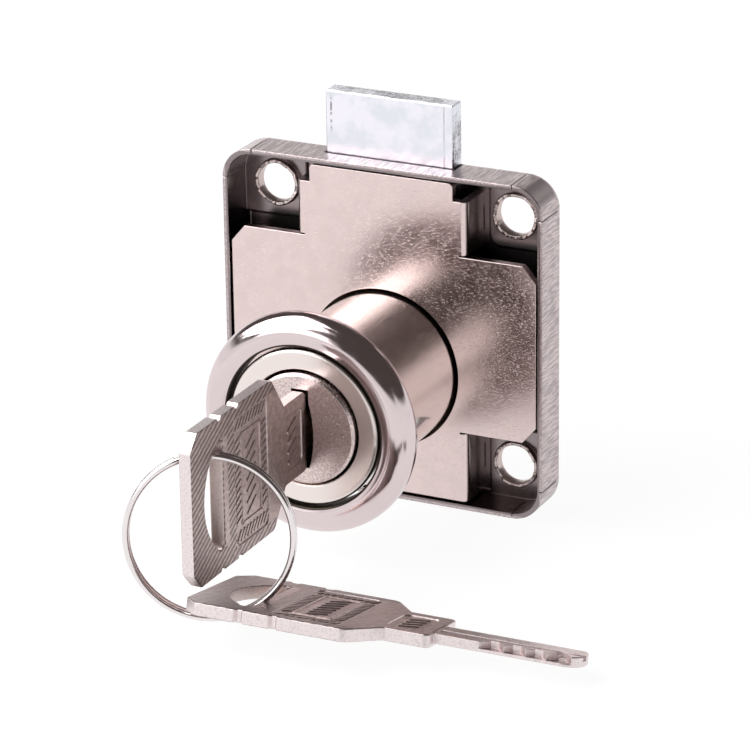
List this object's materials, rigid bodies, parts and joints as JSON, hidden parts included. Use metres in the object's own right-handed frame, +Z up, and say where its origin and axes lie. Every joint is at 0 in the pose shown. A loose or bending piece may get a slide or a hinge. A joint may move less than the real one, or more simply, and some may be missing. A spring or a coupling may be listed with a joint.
{
  "type": "wardrobe lock",
  "caption": "Square cased wardrobe lock with a key-turned round barrel, a loose trim collar, a flat sliding bolt, and a spare key on a split ring.",
  "frame": {"origin": "on the barrel's axis, in the plane of the case's front rim, which lies on the door", "axes": "+Z up, the way the bolt leaves the case; -Y towards the front, where the key goes in; +X to the right seen from the front"},
  "size_m": [0.0628, 0.0547, 0.0485],
  "materials": {
    "nickel": "nickel plated pressed steel, satin",
    "cast_nickel": "nickel plated die casting, bright",
    "chrome": "bright chrome",
    "plug_nickel": "nickel plated die casting, satin",
    "zinc_steel": "zinc plated steel, bluish",
    "key_nickel": "nickel plated, coarse machined",
    "wafer_brass": "stamped",
    "spring_steel": "drawn wire"
  },
  "bodies": {
    "case": {"case_tray": "nickel", "cover_plate": "nickel", "cylinder_body": "cast_nickel"},
    "collar": {"trim_collar": "chrome"},
    "plug_body": {"plug": "plug_nickel", "driver_cam": "plug_nickel", "wafer_spring_1": "spring_steel", "wafer_spring_2": "spring_steel", "wafer_spring_3": "spring_steel", "wafer_spring_4": "spring_steel", "wafer_spring_5": "spring_steel"},
    "bolt_body": {"bolt": "zinc_steel"},
    "wafer_stack": {"wafer_1": "wafer_brass", "wafer_2": "wafer_brass", "wafer_3": "wafer_brass", "wafer_4": "wafer_brass", "wafer_5": "wafer_brass"},
    "key": {"key_in_lock": "key_nickel"},
    "ring": {"key_ring": "chrome"},
    "spare": {"spare_key": "key_nickel"}
  },
  "joints": [
    {"name": "plug_turn", "type": "hinge", "parent": "case", "child": "plug_body", "pos_m": [0, -0.0205, 0], "axis": [0, 1, 0], "range_deg": [0, 180]},
    {"name": "bolt_slide", "type": "slide", "parent": "case", "child": "bolt_body", "axis": [0, 0, -1], "range_m": [0, 0.008]},
    {"name": "key_pull", "type": "slide", "parent": "plug_body", "child": "key", "axis": [0, -1, 0], "range_m": [0, 0.0175]},
    {"name": "wafer_drop", "type": "slide", "parent": "plug_body", "child": "wafer_stack", "axis": [0, 0, -1], "range_m": [0, 0.0009], "deforming": ["wafer_spring_1", "wafer_spring_2", "wafer_spring_3", "wafer_spring_4", "wafer_spring_5"]},
    {"name": "collar_slide", "type": "slide", "parent": "case", "child": "collar", "axis": [0, 1, 0], "range_m": [0, 0.0178]},
    {"name": "ring_swing", "type": "hinge", "parent": "key", "child": "ring", "pos_m": [-0.00042, -0.0421, 0.00469], "axis": [1, 0, 0], "range_deg": [-100, 10]},
    {"name": "spare_swing", "type": "hinge", "parent": "ring", "child": "spare", "pos_m": [0.00481, -0.04216, -0.0122], "axis": [0.014, 0.238, 0.9712], "range_deg": [-100, 25]}
  ],
  "couplings": [
    {"joint": "bolt_slide", "follows": "plug_turn", "m_per_rad": 0.0025465},
    {"joint": "wafer_drop", "follows": "key_pull", "ratio": 0.051429}
  ]
}
